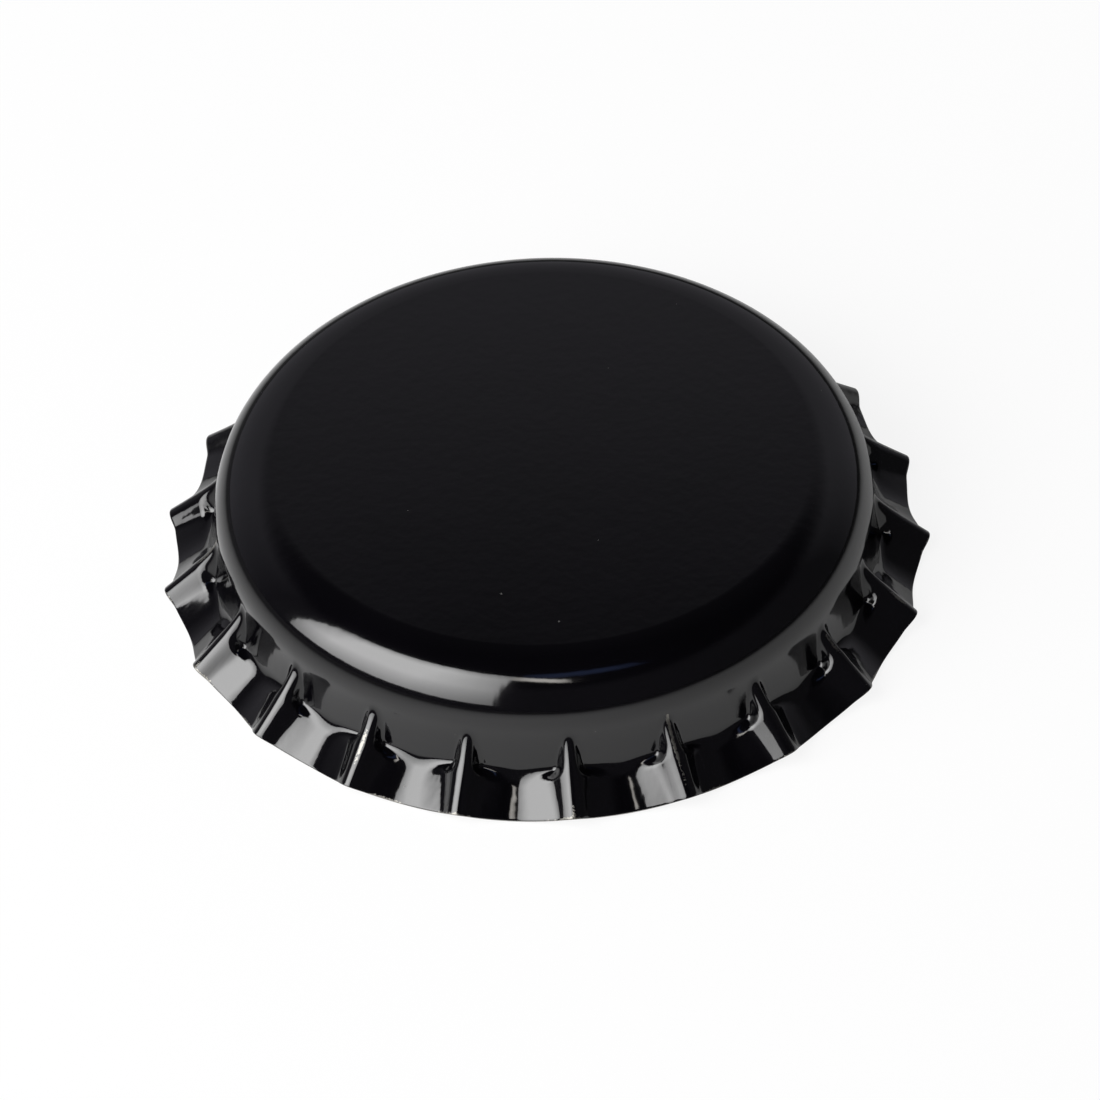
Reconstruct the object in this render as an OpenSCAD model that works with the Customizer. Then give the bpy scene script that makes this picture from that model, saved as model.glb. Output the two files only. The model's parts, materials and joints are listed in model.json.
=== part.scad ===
// Crown cap for a bottle: a pressed tinplate shell with a fluted skirt,
// and the sealing liner moulded inside it.
// Millimetres, +Z up. The cap stands on its rim, its axis is Z, and one tooth points along -Y.

/* [Shell] */
// Diameter over the tooth tips
tip_d = 32.1; // [31.7:0.1:32.6]
// Diameter over the outer edge of the rim, midway between two teeth
rim_d = 30.9; // [30.5:0.1:31.2]
// Height from the lowest edge of the rim to the top panel
shell_h = 6; // [5.8:0.1:6.4]
// Bore of the plain wall, which takes the lip of the bottle
bore_d = 26.9; // [26.6:0.05:27.1]
// Thickness of the tinplate
sheet_t = 0.24; // [0.2:0.01:0.28]
// Outside radius of the shoulder between the top panel and the wall
shoulder_r = 2.5; // [2.1:0.1:2.7]

/* [Flutes] */
// Number of teeth round the skirt
tooth_n = 21; // [18:1:24]
// Drop from the shoulder to the point where a ridge starts to leave the wall
ridge_drop = 0.15; // [0.1:0.05:0.4]
// How round the crest of a ridge is at its upper end
crest_top_round = 0.3; // [0.2:0.05:0.4]
// How round the crest of a ridge is on the foot
crest_round = 0.55; // [0.4:0.05:0.7]
// Rise over run of a ridge's flanks at its upper end
flank_top_slope = 2.4; // [2:0.1:2.8]
// Rise over run of a ridge's flanks on the foot
flank_slope = 1.5; // [1.3:0.1:1.8]
// Softness of the line where a flank meets its base
base_soft = 0.06; // [0.04:0.01:0.1]
// Hollow of the ridge line below its chord
ridge_sag = 0.13; // [0:0.01:0.2]
// Rise of a tooth tip above the outer edge of the rim
tip_rise = 0.66; // [0.5:0.02:0.8]
// Slope of the foot between two teeth, in degrees below level
foot_angle = 38.5; // [36:0.5:42]
// Outside radius of the crease where the foot leaves the wall
crease_r = 0.5; // [0.3:0.1:0.7]

/* [Liner] */
// Diameter of the liner
liner_d = 25.2; // [24.6:0.1:25.6]
// Thickness of the liner's thin middle
liner_t = 0.3; // [0.2:0.05:0.5]
// Diameter of the thin middle, inside the sealing ring
liner_mid_d = 19; // [17:0.5:20]
// Thickness of the sealing ring
seal_t = 0.75; // [0.6:0.05:0.9]
// Radius of the two beads that stand up on the sealing ring
bead_r = 0.45; // [0.3:0.05:0.5]
// Film of lacquer between the liner and the shoulder
film_t = 0.05; // [0.03:0.01:0.1]

/* [Hidden] */
$fn = 180;

// How far a cut runs past the face that it opens
overrun = 0.5;
// How far the fluted sheet stands into the bore before the bore is cut true
bore_stock = 0.05;
// How far the fluted sheet stays inside the face of the plain wall that it grows out of
tuck = 0.01;
// Steps that the direction of the sheet is measured with: an angle, and a share of its length
probe_angle = 0.02;
probe_share = 0.0005;
// Share of a ridge's height that is a wide hollow base on the foot
hollow_share = 0.34;
// How far down the foot that base takes to form, as a multiple of the crease
hollow_blend = 1.5;
// Places of the points across one tooth, as shares of the pitch
pitch_shares = [-0.3, -0.2, -0.11, -0.045, 0, 0.045, 0.11, 0.2, 0.3, 0.5];
// Places of the rings down the plain wall, the crease and the foot, as shares of each
wall_ring_shares = [0, 0.35, 0.7, 1];
crease_ring_shares = [0.5, 1];
foot_ring_shares = [0.5, 1];

bore_r = bore_d / 2;
wall_r = bore_r + sheet_t;
rim_r = rim_d / 2;
tip_r = tip_d / 2;
pitch = 360 / tooth_n;
// The rim is cut square to the sheet, so its outer edge stands this far above its lowest edge
rim_h = sheet_t * cos(foot_angle);
shoulder_h = shell_h - shoulder_r;
ridge_top_h = shoulder_h - ridge_drop;
// The fluted sheet laps the cup over the plain wall above the ridges
lap = ridge_drop / 3;
panel_h = shell_h - sheet_t;
inner_shoulder_r = shoulder_r - sheet_t;

// The skirt midway between two teeth: plain wall, crease, foot
crease_turn = 90 - foot_angle;
crease_run = crease_r * tan(crease_turn / 2);
crease_top_h = rim_h + (rim_r - wall_r) * tan(foot_angle) + crease_run;
wall_len = ridge_top_h - crease_top_h;
crease_len = crease_r * crease_turn * PI / 180;
foot_len = (rim_r - wall_r) / cos(foot_angle) - crease_run;
valley_len = wall_len + crease_len + foot_len;

// The ridge line, from the wall to the tooth tip
ridge_start = [wall_r, ridge_top_h];
ridge_chord = [tip_r, rim_h + tip_rise] - ridge_start;
ridge_hollow = [ridge_chord[1], -ridge_chord[0]] / norm(ridge_chord) * ridge_sag;

// Radius and height of the valley, a given length down the skirt
function valley(l) =
    l <= wall_len ? [wall_r, ridge_top_h - l] :
    l <= wall_len + crease_len ?
        let (a = (l - wall_len) / crease_r * 180 / PI)
        [wall_r + crease_r * (1 - cos(a)), crease_top_h - crease_r * sin(a)] :
    let (d = valley_len - l)
    [rim_r - d * cos(foot_angle), rim_h + d * sin(foot_angle)];

// Radius and height of the ridge line, at a share of its chord
function ridge_line(share) =
    ridge_start + ridge_chord * share + ridge_hollow * 4 * share * (1 - share);

// A round bump: 1 in its middle, 0 from its half width on
function bump(x, half_w) = abs(x) < half_w ? (1 + cos(180 * x / half_w)) / 2 : 0;

// Angle from the nearest tooth
function tooth_angle(a) = a - pitch * round(a / pitch);

// An easy step from 0 to 1
function smooth_step(x) = let (t = min(1, max(0, x))) t * t * (3 - 2 * t);

// A value between its measure at the upper end of a ridge and its measure on the foot
function down_wall(top, foot, l) = top + (foot - top) * min(1, l / wall_len);

// How far the sheet follows the ridge line: round crest, straight flanks, and a hollow base on the foot
function ridge_follow(a, l) =
    let (height = norm(ridge_line(l / valley_len) - valley(l)))
    let (beside = valley(l)[0] * tooth_angle(a) * PI / 180)
    let (round_r = down_wall(crest_top_round, crest_round, l))
    let (fall = down_wall(flank_top_slope, flank_slope, l) * (norm([beside, round_r]) - round_r))
    let (formed = smooth_step((l - wall_len) / (hollow_blend * crease_len)))
    let (base = hollow_share * formed * bump(tooth_angle(a), pitch / 2))
    let (flank = height - fall - base * height)
    height == 0 ? 0 : base + (flank + norm([flank, base_soft])) / 2 / height;

// A point on the outside of the skirt, at an angle from a tooth and a length down the valley
function skirt(a, l) =
    let (v = valley(l))
    let (p = v + (ridge_line(l / valley_len) - v) * ridge_follow(a, l))
    [p[0] * cos(a), p[0] * sin(a), p[1]];

// Direction square to the sheet, towards the outside
function skirt_out(a, l) =
    let (step = valley_len * probe_share)
    let (down = skirt(a, min(valley_len, l + step)) - skirt(a, max(0, l - step)))
    let (out = cross(down, skirt(a + probe_angle, l) - skirt(a - probe_angle, l)))
    out / norm(out);

// A point on one face of the sheet, set in towards the axis where the sheet is plain wall
function sheet_face(a, l, depth, inset) =
    let (plain = l <= wall_len ? 1 - ridge_follow(a, l) : 0)
    skirt(a, l) - skirt_out(a, l) * depth - [cos(a), sin(a), 0] * inset * plain;

ring_lengths = concat(
    wall_len * wall_ring_shares,
    [for (share = crease_ring_shares) wall_len + crease_len * share],
    [for (share = foot_ring_shares) wall_len + crease_len + foot_len * share]
);
column_angles = [for (k = [0:tooth_n - 1], share = pitch_shares) (k + share) * pitch];

function level_ring(r, h) = [for (a = column_angles) [r * cos(a), r * sin(a), h]];
function face_rings(depth, inset) =
    [for (l = ring_lengths) [for (a = column_angles) sheet_face(a, l, depth, inset)]];
function reversed(list) = [for (i = [len(list) - 1:-1:0]) list[i]];

// A closed ring of sheet through rings of points, listed down its outside and up its inside
module sheet_ring(rings) {
    m = len(rings);
    n = len(rings[0]);
    faces = [
        for (i = [0:m - 1], j = [0:n - 1])
        let (a = i * n + j)
        let (b = i * n + (j + 1) % n)
        let (c = (i + 1) % m * n + (j + 1) % n)
        let (d = (i + 1) % m * n + j)
        let (rising = j % len(pitch_shares) < len(pitch_shares) / 2 - 1)
        each rising ? [[a, b, d], [b, c, d]] : [[a, b, c], [a, c, d]]
    ];
    polyhedron([for (ring = rings) each ring], faces, convexity = 6);
}

// The fluted skirt, with its rim cut square to the sheet
module skirt_sheet() {
    lap_h = ridge_top_h + 2 * lap;
    sheet_ring(concat(
        [level_ring(wall_r - tuck, lap_h)],
        face_rings(0, tuck),
        reversed(face_rings(sheet_t, bore_stock)),
        [level_ring(bore_r - bore_stock, lap_h)]
    ));
}

// Half section of the cup's top panel, shoulder and plain wall, filled to the axis
module cup_section(r, corner_r, top, bottom) {
    translate([0, bottom]) square([r, top - corner_r - bottom]);
    translate([0, bottom]) square([r - corner_r, top - bottom]);
    intersection() {
        translate([r - corner_r, top - corner_r]) circle(corner_r);
        translate([0, bottom]) square([r, top - bottom]);
    }
}

module shell() {
    color("#17161a")
    rotate([0, 0, -90])
    difference() {
        union() {
            rotate_extrude() cup_section(wall_r, shoulder_r, shell_h, ridge_top_h + lap);
            skirt_sheet();
        }
        rotate_extrude() cup_section(bore_r, inner_shoulder_r, panel_h, -overrun);
    }
}

module liner() {
    liner_r = liner_d / 2;
    seal_mid_r = liner_mid_d / 4 + liner_d / 4;
    bead_offset = (liner_d - liner_mid_d) / 4 - bead_r;
    color("#d9d6cc")
    rotate_extrude()
    intersection() {
        union() {
            translate([0, panel_h - liner_t]) square([liner_r, liner_t]);
            translate([liner_mid_d / 2, panel_h - seal_t]) square([liner_r - liner_mid_d / 2, seal_t]);
            for (side = [-1, 1])
                translate([seal_mid_r + side * bead_offset, panel_h - seal_t]) circle(bead_r);
        }
        cup_section(bore_r - film_t, inner_shoulder_r - film_t, panel_h, rim_h);
    }
}

shell();
liner();
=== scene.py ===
# Crown bottle cap: a pressed tinplate shell in black gloss lacquer, with a sealing liner moulded inside it.
# Metres, +Z up. The cap stands on its rim, its axis is Z, and one tooth points along -Y.
import json
import math

import bmesh
import bpy
from mathutils import Matrix, Vector


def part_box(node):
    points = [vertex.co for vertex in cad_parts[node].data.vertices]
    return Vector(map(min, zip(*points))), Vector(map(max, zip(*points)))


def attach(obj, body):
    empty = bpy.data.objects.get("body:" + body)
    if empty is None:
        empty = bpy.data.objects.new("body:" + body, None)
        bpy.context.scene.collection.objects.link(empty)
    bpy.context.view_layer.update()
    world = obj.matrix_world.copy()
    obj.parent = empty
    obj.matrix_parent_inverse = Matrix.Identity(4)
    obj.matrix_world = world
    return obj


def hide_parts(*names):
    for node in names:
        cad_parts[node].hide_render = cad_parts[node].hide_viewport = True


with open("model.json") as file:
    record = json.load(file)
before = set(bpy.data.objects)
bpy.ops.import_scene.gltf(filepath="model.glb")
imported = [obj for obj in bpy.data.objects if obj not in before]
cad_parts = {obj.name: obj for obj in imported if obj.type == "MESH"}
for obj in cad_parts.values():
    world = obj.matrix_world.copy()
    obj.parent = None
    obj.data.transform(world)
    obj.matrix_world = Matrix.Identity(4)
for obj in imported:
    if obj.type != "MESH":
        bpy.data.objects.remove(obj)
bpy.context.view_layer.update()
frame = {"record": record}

MM = 0.001

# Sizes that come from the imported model
shell_low, shell_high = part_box("shell")
_, liner_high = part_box("liner")
mouth = next(mount for mount in frame["record"]["mounts"] if mount["name"] == "mouth")
SHELL_H = shell_high.z
TIP_R = -shell_low.y
BORE_R = mouth["dims"]["r_mm"] * MM
LINER_R = liner_high.x

# Shell, as it was drawn and fluted
SHEET_T = 0.24 * MM
RIM_R = 15.45 * MM
SHOULDER_R = 2.5 * MM
TEETH = 21
FOOT_ANGLE = math.radians(38.5)
CREASE_R = 0.6 * MM
# How far down the foot the crease lies because the lower wall leans out
CREASE_SLIDE = 0.5 * MM

# Ridges: drop from the shoulder to their upper end, rise of a tooth tip above the rim,
# and share of its drop over which the ridge line turns out of the wall
RIDGE_DROP = 0.05 * MM
TIP_RISE = 0.66 * MM
NOSE_SHARE = 0.28
# Section across a ridge, at its upper end and on the foot: how round its crest is, the slope of its flanks
# and the softness of its base line
CREST_ROUNDS = 0.8 * MM, 0.6 * MM
FLANK_SLOPES = 3, 1.8
BASE_SOFTNESSES = 0.15 * MM, 0.1 * MM
# Distance from the crest at which a flank on the wall falls twice as far, which makes the ridge a finger,
# and share of a ridge's height that is a wide hollow base on the foot
FINGER_W = 0.4 * MM
HOLLOW_SHARE = 0.55

# Where the lacquer rubs off: height of the band along the rim, and half width of the line along a crest
RIM_WEAR_H = 0.16 * MM
CREST_WEAR_W = 0.16 * MM
# Small bevel of the sheared edge, and the turn that counts as an edge
EDGE_W = 0.03 * MM
EDGE_STEPS = 2
EDGE_TURN = math.radians(60)

# Mesh of the shell: its columns stand closer on a ridge than between two ridges, by this share
COLUMNS_PER_TOOTH = 34
CROWD_SHARE = 0.5
ROW_H = 0.12 * MM
SHOULDER_STEPS = 18
# Points this near to each other become one
MERGE_GAP = 0.0001 * MM

# Skirt midway between two teeth: plain wall, crease, foot
WALL_R = BORE_R + SHEET_T
PITCH = math.tau / TEETH
RIM_H = SHEET_T * math.cos(FOOT_ANGLE)
SHOULDER_H = SHELL_H - SHOULDER_R
RIDGE_TOP_H = SHOULDER_H - RIDGE_DROP
CREASE_TURN = math.pi / 2 - FOOT_ANGLE
CREASE_RUN = CREASE_R * math.tan(CREASE_TURN / 2)
CREASE_TOP_H = RIM_H + (RIM_R - WALL_R) * math.tan(FOOT_ANGLE) + CREASE_RUN
WALL_LEN = RIDGE_TOP_H - CREASE_TOP_H
CREASE_LEN = CREASE_R * CREASE_TURN
FOOT_LEN = (RIM_R - WALL_R) / math.cos(FOOT_ANGLE) - CREASE_RUN
CREASE_END = WALL_LEN + CREASE_LEN
VALLEY_LEN = CREASE_END + FOOT_LEN

# Liner, as it was moulded: thin middle, sealing ring with two beads, and a film of lacquer between it
# and the shoulder
LINER_T = 0.3 * MM
LINER_MID_R = 9.5 * MM
SEAL_T = 0.75 * MM
BEAD_R = 0.45 * MM
BEAD_STEPS = 8
FILLET_R = 0.12 * MM
FILLET_STEPS = 4
FILM_T = 0.05 * MM
LINER_COLUMNS = 180

# Marks in the lacquer: widths of its orange peel, drawn streaks, uneven film, rubbed patches and chips,
# spacing of the dust grains, and height of the ripples
PEEL_W = 1.3 * MM
STREAK_W = 0.45 * MM
FILM_W = 5 * MM
PATCH_W = 2.4 * MM
CHIP_W = 0.1 * MM
GRAIN_SPACING = 1.1 * MM
PEEL_H = 0.0025 * MM
# The streaks grow stronger over this distance to both sides of the shoulder's lower end
STRAIN_REACH = 1 * MM
# Marks in the tinplate inside, in the cut edge and in the liner: widths and heights
BLOTCH_W = 3 * MM
LINE_W = 0.2 * MM
LINE_H = 0.004 * MM
TEAR_W = 0.09 * MM
TEAR_H = 0.01 * MM
CLOUD_W = 4 * MM
PUNCH_RING_W = 0.45 * MM
PUNCH_RING_H = 0.004 * MM
# Blender's own measures: the values that a noise mostly keeps to, and the period of a wave of scale 1
NOISE_LOW = 0.3
NOISE_HIGH = 0.7
WAVE_PERIOD = math.tau / 20

# Floor, and the painted light and shade that the lacquer mirrors in it: the middle of a painted pool of
# light, the distances from there between which that painted light fades, and the places between which
# painted shade darkens it towards the right
FLOOR_HALF_W = 1500 * MM
PAINTED_LIGHT_POOL_MIDDLE = 10 * MM, -8 * MM, 0
PAINTED_LIGHT_FADE_START = 23 * MM
PAINTED_LIGHT_FADE_END = 60 * MM
PAINTED_SHADE_RIGHT_START = -12 * MM
PAINTED_SHADE_RIGHT_END = 18 * MM
PAPER_WHITE = 0.95
# Share of the floor's white that is its own glow, as the camera sees it and as the lacquer mirrors it
SEEN_GLOW_SHARE = 0.88
MIRRORED_GLOW_SHARE = 0.3

# Lamps: their distance from the axis, the azimuth of both softboxes in degrees, the edges that those two
# have in common as shares of the distance, and the colours of the light
LAMP_AWAY = 300 * MM
WINDOW_AZIMUTH = -35
WINDOW_RIGHT_SHARE = 0.268
WINDOW_TOP_SHARE = 2.1
WHITE_LIGHT = 1, 1, 1
WARM_LIGHT = 1, 0.96, 0.9
COOL_LIGHT = 0.3, 0.45, 1
ROOM_LIGHT = 1, 0.98, 1.08, 1

# Photograph's camera: angles in degrees, distances in metres, focal length in pixels of a frame this wide,
# and the sensor's width in Blender's own millimetres
FRAME_PX = 1100
FOCAL_PX = 6620
ELEVATION = 43.98
AZIMUTH = -2.32
ROLL = -2.58
CAMERA_AWAY = 277.3 * MM
CAMERA_ASIDE = 0.144 * MM
CAMERA_UP = 0.304 * MM
SENSOR_W = 36
CLIP_RATIO = 100


def paint(code):
    """Linear colour of an sRGB hex value."""
    parts = [int(code[i:i + 2], 16) / 255 for i in (1, 3, 5)]
    return *[c / 12.92 if c <= 0.04045 else ((c + 0.055) / 1.055) ** 2.4 for c in parts], 1


# Sockets that share a name or stand alone go by number. Map Range: 0 value, 1 and 2 its range, 3 and 4 the
# range that it is turned into. Mix: 0 share, 2 and 3 numbers, 6 and 7 colours.
def add(tree, kind, inputs=None, **settings):
    """Adds a node with its settings, its fixed values and its links."""
    made = tree.nodes.new(kind)
    for name, value in settings.items():
        setattr(made, name, value)
    for key, value in (inputs or {}).items():
        if isinstance(value, bpy.types.NodeSocket):
            tree.links.new(value, made.inputs[key])
        else:
            made.inputs[key].default_value = value
    return made


def material(name):
    """An empty material and its node tree."""
    made = bpy.data.materials.new(name)
    made.use_nodes = True
    made.node_tree.nodes.clear()
    return made, made.node_tree


def black_lacquer():
    """Baked black enamel on tinplate: a near mirror that shows the studio, over a colour with almost
    no light in it. Orange peel ripples the mirror, a few dust grains stand on it, and bright tin shows
    on rubbed crests and along the rim."""
    made, tree = material("black_baked_lacquer")
    place = add(tree, "ShaderNodeTexCoord").outputs["Object"]

    # Orange peel, and streaks down the wall that are stronger where the sheet was strained
    peel = add(tree, "ShaderNodeTexNoise", {"Vector": place, "Scale": 1 / PEEL_W, "Detail": 2})
    drawn = add(tree, "ShaderNodeMapping", {"Vector": place, "Scale": (1, 1, 0.15)})
    streaks = add(tree, "ShaderNodeTexNoise", {
        "Vector": drawn.outputs[0], "Scale": 1 / STREAK_W, "Detail": 1,
    })
    height = add(tree, "ShaderNodeSeparateXYZ", {0: place}).outputs["Z"]
    strain = add(tree, "ShaderNodeMapRange", {
        0: height, 1: SHOULDER_H - STRAIN_REACH, 2: SHOULDER_H + STRAIN_REACH, 3: 2.5, 4: 1,
    })
    streaks = add(tree, "ShaderNodeMath", {
        0: streaks.outputs[0], 1: strain.outputs[0],
    }, operation="MULTIPLY")
    waves = add(tree, "ShaderNodeMath", {0: peel.outputs[0], 1: streaks.outputs[0]})
    ripple = add(tree, "ShaderNodeBump", {"Height": waves.outputs[0], "Distance": PEEL_H})

    # Film of uneven gloss and colour
    film = add(tree, "ShaderNodeTexNoise", {"Vector": place, "Scale": 1 / FILM_W, "Detail": 4})
    gloss = add(tree, "ShaderNodeMapRange", {
        0: film.outputs[0], 1: NOISE_LOW, 2: NOISE_HIGH, 3: 0.05, 4: 0.1,
    })
    black = add(tree, "ShaderNodeMix", {
        0: film.outputs[0], 6: paint("#030304"), 7: paint("#060508"),
    }, data_type="RGBA")

    # Dust grains of mixed size, on some of the cells
    grains = add(tree, "ShaderNodeTexVoronoi", {"Vector": place, "Scale": 1 / GRAIN_SPACING})
    lot = add(tree, "ShaderNodeSeparateColor", {0: grains.outputs["Color"]})
    grain_r = add(tree, "ShaderNodeMapRange", {0: lot.outputs[0], 1: 0.6, 2: 1, 3: 0, 4: 0.05})
    dust = add(tree, "ShaderNodeMath", {
        0: grains.outputs["Distance"], 1: grain_r.outputs[0],
    }, operation="LESS_THAN")

    # Tin that is bare in chips, within rubbed patches of the crests and the rim
    crest = add(tree, "ShaderNodeAttribute", attribute_name="crest").outputs["Fac"]
    rim = add(tree, "ShaderNodeAttribute", attribute_name="rim").outputs["Fac"]
    edge = add(tree, "ShaderNodeMath", {0: crest, 1: rim}, operation="MAXIMUM")
    patch = add(tree, "ShaderNodeTexNoise", {"Vector": place, "Scale": 1 / PATCH_W, "Detail": 1})
    rubbed = add(tree, "ShaderNodeMapRange", {0: patch.outputs[0], 1: 0.45, 2: 0.67, 3: 0, 4: 1})
    chips = add(tree, "ShaderNodeTexNoise", {"Vector": place, "Scale": 1 / CHIP_W, "Detail": 3})
    share = add(tree, "ShaderNodeMath", {0: edge.outputs[0], 1: rubbed.outputs[0]}, operation="MULTIPLY")
    share = add(tree, "ShaderNodeMath", {0: share.outputs[0], 1: chips.outputs[0]}, operation="MULTIPLY")
    bare = add(tree, "ShaderNodeMath", {0: share.outputs[0], 1: 0.3}, operation="GREATER_THAN").outputs[0]

    colour = add(tree, "ShaderNodeMix", {
        0: bare, 6: black.outputs[2], 7: paint("#7d7b76"),
    }, data_type="RGBA")
    colour = add(tree, "ShaderNodeMix", {
        0: dust.outputs[0], 6: colour.outputs[2], 7: paint("#4c4b4a"),
    }, data_type="RGBA")
    rough = add(tree, "ShaderNodeMath", {0: bare, 1: dust.outputs[0]}, operation="MAXIMUM")
    rough = add(tree, "ShaderNodeMix", {0: rough.outputs[0], 2: gloss.outputs[0], 3: 0.4})
    shader = add(tree, "ShaderNodeBsdfPrincipled", {
        "Base Color": colour.outputs[2],
        "Metallic": bare,
        "Roughness": rough.outputs[0],
        "IOR": 1.6,
        "Normal": ripple.outputs[0],
    })
    add(tree, "ShaderNodeOutputMaterial", {"Surface": shader.outputs["BSDF"]})
    return made


def clear_tinplate():
    """Tinplate under clear lacquer, the inside of the cap: soft silver with a warm cast, drawn lines
    and faint blotches."""
    made, tree = material("clear_lacquered_tinplate")
    place = add(tree, "ShaderNodeTexCoord").outputs["Object"]
    blotch = add(tree, "ShaderNodeTexNoise", {"Vector": place, "Scale": 1 / BLOTCH_W, "Detail": 4})
    silver = add(tree, "ShaderNodeMix", {
        0: blotch.outputs[0], 6: paint("#bfb9a8"), 7: paint("#d3d0c8"),
    }, data_type="RGBA")
    drawn = add(tree, "ShaderNodeMapping", {"Vector": place, "Scale": (1, 1, 0.06)})
    lines = add(tree, "ShaderNodeTexNoise", {"Vector": drawn.outputs[0], "Scale": 1 / LINE_W, "Detail": 3})
    ripple = add(tree, "ShaderNodeBump", {"Height": lines.outputs[0], "Distance": LINE_H})
    gloss = add(tree, "ShaderNodeMapRange", {
        0: lines.outputs[0], 1: NOISE_LOW, 2: NOISE_HIGH, 3: 0.24, 4: 0.4,
    })
    shader = add(tree, "ShaderNodeBsdfPrincipled", {
        "Base Color": silver.outputs[2],
        "Metallic": 1,
        "Roughness": gloss.outputs[0],
        "Normal": ripple.outputs[0],
    })
    add(tree, "ShaderNodeOutputMaterial", {"Surface": shader.outputs["BSDF"]})
    return made


def sheared_steel():
    """Bare cut edge of the sheet: bright, rough steel with torn streaks."""
    made, tree = material("sheared_steel_edge")
    place = add(tree, "ShaderNodeTexCoord").outputs["Object"]
    torn = add(tree, "ShaderNodeTexNoise", {"Vector": place, "Scale": 1 / TEAR_W, "Detail": 3})
    steel = add(tree, "ShaderNodeMix", {
        0: torn.outputs[0], 6: paint("#6f6d6a"), 7: paint("#cfcdc8"),
    }, data_type="RGBA")
    ripple = add(tree, "ShaderNodeBump", {"Height": torn.outputs[0], "Distance": TEAR_H})
    shader = add(tree, "ShaderNodeBsdfPrincipled", {
        "Base Color": steel.outputs[2],
        "Metallic": 1,
        "Roughness": 0.4,
        "Normal": ripple.outputs[0],
    })
    add(tree, "ShaderNodeOutputMaterial", {"Surface": shader.outputs["BSDF"]})
    return made


def liner_compound():
    """Moulded polyethylene liner: milky off-white with a satin skin, flow clouds and faint rings
    from the punch."""
    made, tree = material("moulded_polyethylene_liner")
    place = add(tree, "ShaderNodeTexCoord").outputs["Object"]
    cloud = add(tree, "ShaderNodeTexNoise", {"Vector": place, "Scale": 1 / CLOUD_W, "Detail": 3})
    milk = add(tree, "ShaderNodeMix", {
        0: cloud.outputs[0], 6: paint("#d2cec2"), 7: paint("#e2e0d8"),
    }, data_type="RGBA")
    rings = add(tree, "ShaderNodeTexWave", {
        "Vector": place, "Scale": WAVE_PERIOD / PUNCH_RING_W, "Distortion": 0.4,
    }, wave_type="RINGS", rings_direction="Z")
    ripple = add(tree, "ShaderNodeBump", {"Height": rings.outputs[1], "Distance": PUNCH_RING_H})
    gloss = add(tree, "ShaderNodeMapRange", {
        0: cloud.outputs[0], 1: NOISE_LOW, 2: NOISE_HIGH, 3: 0.36, 4: 0.5,
    })
    shader = add(tree, "ShaderNodeBsdfPrincipled", {
        "Base Color": milk.outputs[2],
        "Roughness": gloss.outputs[0],
        "IOR": 1.51,
        "Normal": ripple.outputs[0],
    })
    add(tree, "ShaderNodeOutputMaterial", {"Surface": shader.outputs["BSDF"]})
    return made


def half_section(bm, points):
    """A chain of edges through points given as radius and height."""
    verts = [bm.verts.new((r, 0, h)) for r, h in points]
    for above, below in zip(verts, verts[1:]):
        bm.edges.new((above, below))
    return verts


def round_corner(bm, corner, run, segments):
    """Rounds one corner of a half section, starting that far from it along both edges."""
    bmesh.ops.bevel(
        bm, geom=[corner], offset=run, offset_type="OFFSET", segments=segments,
        profile=0.5, affect="VERTICES", material=-1,
    )


def divide(bm, below, spacing):
    """Divides the edges of a half section that lie below a height into pieces about this long."""
    for edge in bm.edges[:]:
        cuts = round(edge.calc_length() / spacing) - 1
        if cuts > 0 and max(vert.co.z for vert in edge.verts) < below:
            bmesh.ops.subdivide_edges(bm, edges=[edge], cuts=cuts)


def revolve(bm, steps):
    """Spins a half section once round the axis and closes it."""
    bmesh.ops.spin(
        bm, geom=bm.verts[:] + bm.edges[:], cent=(0, 0, 0), axis=(0, 0, 1),
        angle=math.tau, steps=steps, use_merge=True,
    )
    bmesh.ops.remove_doubles(bm, verts=bm.verts[:], dist=MERGE_GAP)
    bmesh.ops.recalc_face_normals(bm, faces=bm.faces[:])


def finished(bm, name, materials):
    """The object made of a mesh, shaded smooth and riding on the cap's one body."""
    for face in bm.faces:
        face.smooth = True
    mesh = bpy.data.meshes.new(name)
    bm.to_mesh(mesh)
    bm.free()
    for made in materials:
        mesh.materials.append(made)
    piece = bpy.data.objects.new(name, mesh)
    bpy.context.scene.collection.objects.link(piece)
    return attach(piece, "root")


def valley_length(r, h):
    """Length down the valley from the upper end of the ridges, at a point of the plain skirt."""
    if h >= CREASE_TOP_H:
        return RIDGE_TOP_H - h
    turned = math.atan2(CREASE_TOP_H - h, WALL_R + CREASE_R - r)
    if turned < CREASE_TURN:
        return WALL_LEN + CREASE_R * turned
    return VALLEY_LEN - (RIM_R - r) / math.cos(FOOT_ANGLE)


def ridge_line(share):
    """Radius and height of the ridge line, at a share of its drop. It leaves the wall with a soft nose."""
    rise = (math.hypot(share, NOSE_SHARE) - NOSE_SHARE) / (math.hypot(1, NOSE_SHARE) - NOSE_SHARE)
    return Vector((
        WALL_R + (TIP_R - WALL_R) * rise,
        RIDGE_TOP_H + (RIM_H + TIP_RISE - RIDGE_TOP_H) * share,
    ))


def bump(x, half_w):
    """A round bump: 1 in its middle, 0 from its half width on."""
    return (1 + math.cos(math.pi * x / half_w)) / 2 if abs(x) < half_w else 0


def eased(height, softness):
    """Twice a height above the base line, with a soft turn into 0 below it."""
    return height + math.hypot(height, softness)


def smooth_step(x):
    """0 below 0, 1 above 1, and an easy curve between."""
    x = min(1, max(0, x))
    return x * x * (3 - 2 * x)


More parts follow.
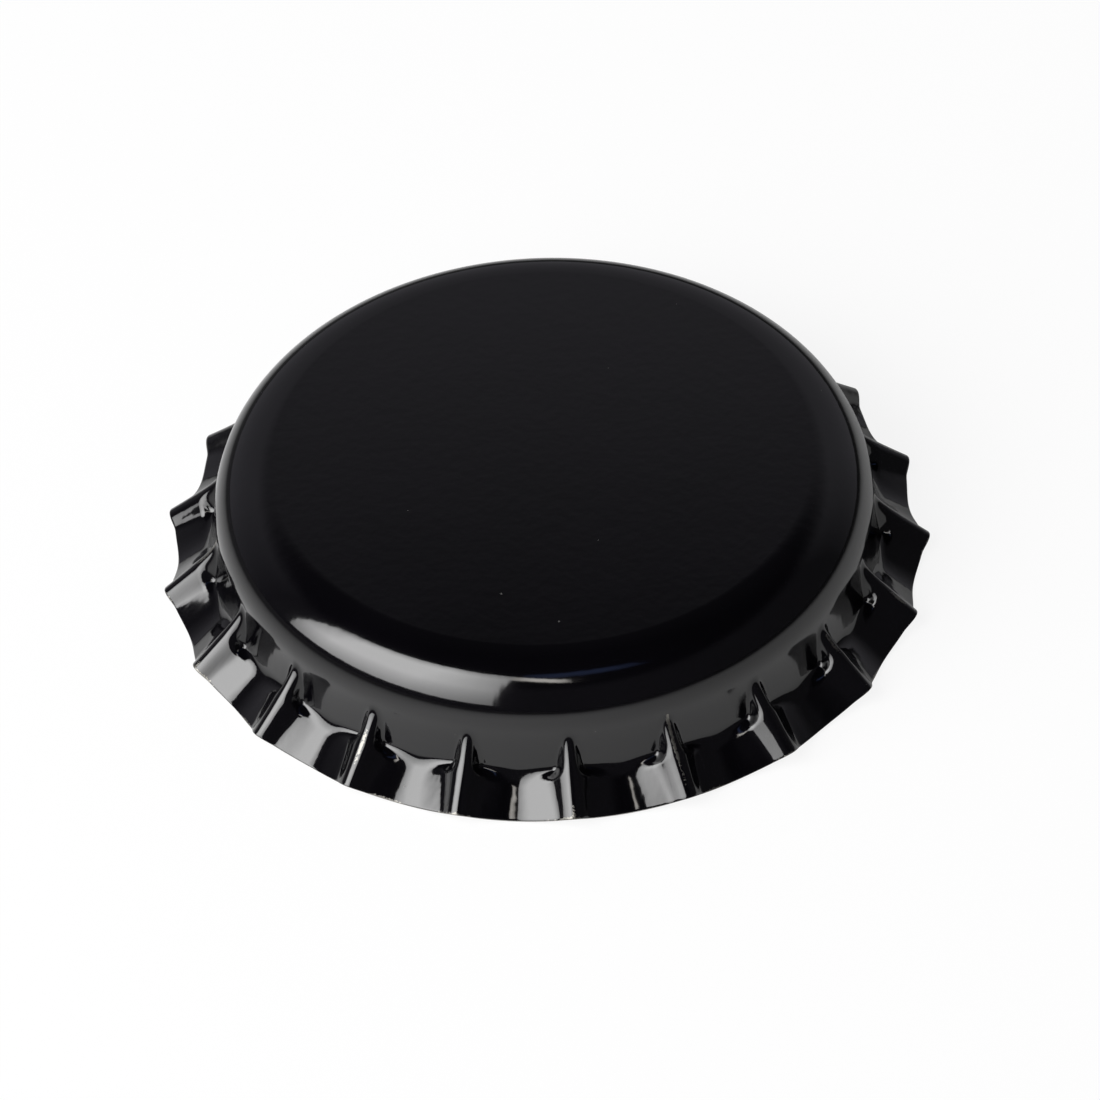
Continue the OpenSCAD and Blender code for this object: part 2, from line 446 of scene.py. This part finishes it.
def fluted(point):
    """Where a point of the plain skirt lies once the ridges are pressed into it, and how near to a crest
    it is."""
    r, angle = math.hypot(point.x, point.y), math.atan2(point.y, point.x)
    from_tooth = (angle + math.pi / 2) / PITCH
    tooth = round(from_tooth)
    share = from_tooth - tooth
    share -= CROWD_SHARE * math.sin(math.tau * share) / math.tau
    turn = share * PITCH
    angle = (tooth + share) * PITCH - math.pi / 2
    h = point.z
    wear = 0
    if h < RIDGE_TOP_H:
        along = valley_length(r, h)
        crest = ridge_line(along / VALLEY_LEN)
        beside = r * turn
        # The lower wall leans out, and the crease slides down the foot
        slide = CREASE_SLIDE * min((along / CREASE_END) ** 2, (VALLEY_LEN - along) / FOOT_LEN)
        r, h = r + slide * math.cos(FOOT_ANGLE), h - slide * math.sin(FOOT_ANGLE)
        height = math.hypot(crest.x - r, crest.y - h)
        on_wall = min(1, along / WALL_LEN)
        crest_round, slope, softness = (
            top + (foot - top) * on_wall for top, foot in (CREST_ROUNDS, FLANK_SLOPES, BASE_SOFTNESSES)
        )
        on_foot = smooth_step((along - WALL_LEN) / CREASE_LEN)
        base = on_foot * HOLLOW_SHARE
        hollow = base * bump(turn, PITCH / 2)
        fall = slope * (math.hypot(beside, crest_round) - crest_round)
        fall *= 1 + (beside / FINGER_W) ** 2 * (1 - on_foot)
        flank = height * (1 - hollow) - fall
        follow = hollow + (1 - base) * eased(flank, softness) / eased(height * (1 - base), softness)
        wear = max(0, 1 - abs(beside) / CREST_WEAR_W)
        r, h = r + follow * (crest.x - r), h + follow * (crest.y - h)
    return Vector((r * math.cos(angle), r * math.sin(angle), h)), wear


def make_shell():
    """Drawn cup with a fluted skirt, given the thickness of the sheet inwards."""
    bm = bmesh.new()
    _, shoulder, crease, _ = half_section(bm, [
        (0, SHELL_H), (WALL_R, SHELL_H),
        (WALL_R, CREASE_TOP_H - CREASE_RUN), (RIM_R, RIM_H),
    ])
    round_corner(bm, shoulder, SHOULDER_R, SHOULDER_STEPS)
    round_corner(bm, crease, CREASE_RUN, round(CREASE_LEN / ROW_H))
    divide(bm, SHELL_H - SHEET_T, ROW_H)
    revolve(bm, TEETH * COLUMNS_PER_TOOTH)
    crest, rim = (bm.verts.layers.float.new(name) for name in ("crest", "rim"))
    for vert in bm.verts:
        vert[rim] = max(0, 1 - (vert.co.z - RIM_H) / RIM_WEAR_H)
        vert.co, vert[crest] = fluted(vert.co)
    piece = finished(bm, "shell_dressed", [black_lacquer(), clear_tinplate(), sheared_steel()])
    wall = piece.modifiers.new("sheet", "SOLIDIFY")
    wall.thickness = SHEET_T
    wall.offset = -1
    wall.use_even_offset = True
    wall.material_offset = 1
    wall.material_offset_rim = 2
    edge = piece.modifiers.new("sheared_edge", "BEVEL")
    edge.width = EDGE_W
    edge.segments = EDGE_STEPS
    edge.limit_method = "ANGLE"
    edge.angle_limit = EDGE_TURN
    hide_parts("shell")


def make_liner():
    """Thin disc with a sealing ring and two beads, turned from one half section."""
    panel_h = SHELL_H - SHEET_T
    seal_h = panel_h - SEAL_T
    bead_h = seal_h - BEAD_R
    bead_w = 2 * BEAD_R
    # The disc's upper edge follows the inside of the cup's shoulder
    shoulder_r = SHOULDER_R - SHEET_T - FILM_T
    lean = math.acos((LINER_R - WALL_R + SHOULDER_R) / shoulder_r)
    bm = bmesh.new()
    corners = half_section(bm, [
        (0, panel_h), (WALL_R - SHOULDER_R, panel_h), (LINER_R, SHOULDER_H + shoulder_r * math.sin(lean)),
        (LINER_R, bead_h), (LINER_R - bead_w, bead_h),
        (LINER_R - bead_w, seal_h), (LINER_MID_R + bead_w, seal_h),
        (LINER_MID_R + bead_w, bead_h), (LINER_MID_R, bead_h),
        (LINER_MID_R, panel_h - LINER_T), (0, panel_h - LINER_T),
    ])
    for bead_corner in corners[3], corners[4], corners[7], corners[8]:
        round_corner(bm, bead_corner, BEAD_R, BEAD_STEPS)
    for inner_corner in corners[5], corners[6], corners[9]:
        round_corner(bm, inner_corner, FILLET_R, FILLET_STEPS)
    revolve(bm, LINER_COLUMNS)
    piece = finished(bm, "liner_dressed", [liner_compound()])
    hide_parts("liner")


def paper_with_painted_shade():
    """Matt white paper that also glows, so that it shows white and keeps a soft shadow. In the lacquer's
    mirror it carries painted light and shade: a painted pool of light near the cap that fades further out,
    and painted shade towards the right."""
    made, tree = material("white_paper_floor")
    rays = add(tree, "ShaderNodeLightPath").outputs
    place = add(tree, "ShaderNodeTexCoord").outputs["Object"]
    # Painted pool of light near the cap and painted shade towards the right, seen only by the lacquer's
    # mirror rays
    away = add(tree, "ShaderNodeVectorMath", {0: place, 1: PAINTED_LIGHT_POOL_MIDDLE}, operation="DISTANCE")
    sheet = add(tree, "ShaderNodeMapRange", {
        0: away.outputs["Value"], 1: PAINTED_LIGHT_FADE_START, 2: PAINTED_LIGHT_FADE_END, 3: PAPER_WHITE, 4: 0.08,
    })
    across = add(tree, "ShaderNodeSeparateXYZ", {0: place})
    side = add(tree, "ShaderNodeMapRange", {0: across.outputs[0], 1: PAINTED_SHADE_RIGHT_START, 2: PAINTED_SHADE_RIGHT_END, 3: 1, 4: 0.62})
    sheet = add(tree, "ShaderNodeMath", {0: sheet.outputs[0], 1: side.outputs[0]}, operation="MULTIPLY")
    # The lacquer's mirror rays see the paper with this painted light and shade, other rays see it evenly
    # white
    paper_tone_with_painted_shade = add(tree, "ShaderNodeMix", {0: rays["Is Glossy Ray"], 2: PAPER_WHITE, 3: sheet.outputs[0]})
    seen = add(tree, "ShaderNodeMath", {
        0: rays["Is Camera Ray"], 1: rays["Is Transmission Ray"],
    }, operation="MAXIMUM")
    share = add(tree, "ShaderNodeMath", {0: seen.outputs[0], 1: SEEN_GLOW_SHARE}, operation="MULTIPLY")
    mirrored = add(tree, "ShaderNodeMath", {
        0: rays["Is Glossy Ray"], 1: MIRRORED_GLOW_SHARE,
    }, operation="MULTIPLY")
    share = add(tree, "ShaderNodeMath", {0: share.outputs[0], 1: mirrored.outputs[0]}, operation="MAXIMUM")
    matt = add(tree, "ShaderNodeBsdfDiffuse", {"Color": paper_tone_with_painted_shade.outputs[0]})
    # The glow follows the same painted light and shade
    glow = add(tree, "ShaderNodeMapRange", {0: paper_tone_with_painted_shade.outputs[0], 1: 0, 2: PAPER_WHITE, 3: 0, 4: 1})
    white = add(tree, "ShaderNodeEmission", {"Color": (1, 1, 1, 1), "Strength": glow.outputs[0]})
    both = add(tree, "ShaderNodeMixShader", {0: share.outputs[0], 1: matt.outputs[0], 2: white.outputs[0]})
    add(tree, "ShaderNodeOutputMaterial", {"Surface": both.outputs[0]})
    return made


def make_floor():
    """Pale studio floor under the cap."""
    bm = bmesh.new()
    bmesh.ops.create_grid(bm, x_segments=1, y_segments=1, size=FLOOR_HALF_W)
    mesh = bpy.data.meshes.new("floor")
    bm.to_mesh(mesh)
    bm.free()
    floor = bpy.data.objects.new("floor", mesh)
    bpy.context.scene.collection.objects.link(floor)
    mesh.materials.append(paper_with_painted_shade())


def softbox(name, azimuth, left, right, low, high, radiance, colour):
    """An upright lit panel, brightest in its middle. Its azimuth is 0 in front of the cap and grows to the
    right, and its edges are given as shares of its distance."""
    a = math.radians(azimuth)
    out, along = Vector((math.sin(a), -math.cos(a), 0)), Vector((math.cos(a), math.sin(a), 0))
    left, right, low, high = (share * LAMP_AWAY for share in (left, right, low, high))
    lamp = bpy.data.lights.new(name, "AREA")
    lamp.shape = "RECTANGLE"
    lamp.size, lamp.size_y = right - left, high - low
    lamp.energy = radiance * math.pi * lamp.size * lamp.size_y
    lamp.color = colour
    lamp.use_nodes = True
    tree = lamp.node_tree
    tree.nodes.clear()
    spot = add(tree, "ShaderNodeNewGeometry").outputs["Parametric"]
    offset = add(tree, "ShaderNodeVectorMath", {0: spot, 1: (0.5, 0.5, 0)}, operation="SUBTRACT")
    offset = add(tree, "ShaderNodeVectorMath", {0: offset.outputs[0]}, operation="ABSOLUTE")
    sides = add(tree, "ShaderNodeSeparateXYZ", {0: offset.outputs[0]}).outputs
    fades = [
        add(tree, "ShaderNodeMapRange", {0: side, 1: 0.2, 2: 0.5, 3: 1, 4: 0.5}).outputs[0]
        for side in sides[:2]
    ]
    fade = add(tree, "ShaderNodeMath", {0: fades[0], 1: fades[1]}, operation="MULTIPLY")
    glow = add(tree, "ShaderNodeEmission", {"Strength": fade.outputs[0]})
    add(tree, "ShaderNodeOutputLight", {0: glow.outputs[0]})
    holder = bpy.data.objects.new(name, lamp)
    holder.matrix_world = Matrix((along, (0, 0, 1), out)).transposed().to_4x4()
    holder.location = out * LAMP_AWAY + along * (left + right) / 2 + Vector((0, 0, (low + high) / 2))
    holder.visible_camera = False
    bpy.context.scene.collection.objects.link(holder)


def make_lights():
    """A large softbox at the left, a small warm one beside its top, and a dim cool panel, in a dim room."""
    softbox(
        "window_softbox", WINDOW_AZIMUTH, left=-1.43, right=WINDOW_RIGHT_SHARE,
        low=0.158, high=WINDOW_TOP_SHARE, radiance=8, colour=WHITE_LIGHT,
    )
    softbox(
        "corner_softbox", WINDOW_AZIMUTH, left=WINDOW_RIGHT_SHARE, right=0.84,
        low=1.6, high=WINDOW_TOP_SHARE, radiance=6, colour=WARM_LIGHT,
    )
    softbox(
        "cool_panel", azimuth=10, left=-0.5, right=0.6,
        low=1.9, high=2.9, radiance=0.45, colour=COOL_LIGHT,
    )
    world = bpy.data.worlds.new("dim_room")
    world.use_nodes = True
    tree = world.node_tree
    tree.nodes.clear()
    # The room is lighter behind the cap than in front of it, and nearly dark overhead
    aim = add(tree, "ShaderNodeTexCoord").outputs["Generated"]
    way = add(tree, "ShaderNodeSeparateXYZ", {0: aim}).outputs
    behind = add(tree, "ShaderNodeMapRange", {0: way[1], 1: 0.2, 2: 0.7, 3: 0.05, 4: 0.22})
    overhead = add(tree, "ShaderNodeMapRange", {
        0: way[2], 1: 0.6, 2: 0.78, 3: 1, 4: 0.1,
    }, interpolation_type="SMOOTHSTEP")
    level = add(tree, "ShaderNodeMath", {0: behind.outputs[0], 1: overhead.outputs[0]}, operation="MULTIPLY")
    room = add(tree, "ShaderNodeBackground", {"Color": ROOM_LIGHT, "Strength": level.outputs[0]})
    add(tree, "ShaderNodeOutputWorld", {"Surface": room.outputs[0]})
    bpy.context.scene.world = world


def make_camera():
    """The photograph's viewing angle."""
    el, az, roll = (math.radians(angle) for angle in (ELEVATION, AZIMUTH, ROLL))
    back = Vector((math.sin(az) * math.cos(el), -math.cos(az) * math.cos(el), math.sin(el)))
    right = Vector((math.cos(az), math.sin(az), 0))
    up = back.cross(right)
    across, upward = (
        right * math.cos(roll) + up * math.sin(roll),
        up * math.cos(roll) - right * math.sin(roll),
    )
    lens = bpy.data.cameras.new("camera")
    lens.sensor_width = SENSOR_W
    lens.lens = SENSOR_W * FOCAL_PX / FRAME_PX
    lens.clip_start, lens.clip_end = CAMERA_AWAY / CLIP_RATIO, CAMERA_AWAY * CLIP_RATIO
    camera = bpy.data.objects.new("camera", lens)
    camera.matrix_world = Matrix((across, upward, back)).transposed().to_4x4()
    camera.location = back * CAMERA_AWAY + across * CAMERA_ASIDE + upward * CAMERA_UP
    bpy.context.scene.collection.objects.link(camera)
    bpy.context.scene.camera = camera


make_camera()
make_shell()
make_liner()
make_floor()
make_lights()
bpy.context.scene.view_settings.view_transform = "Standard"
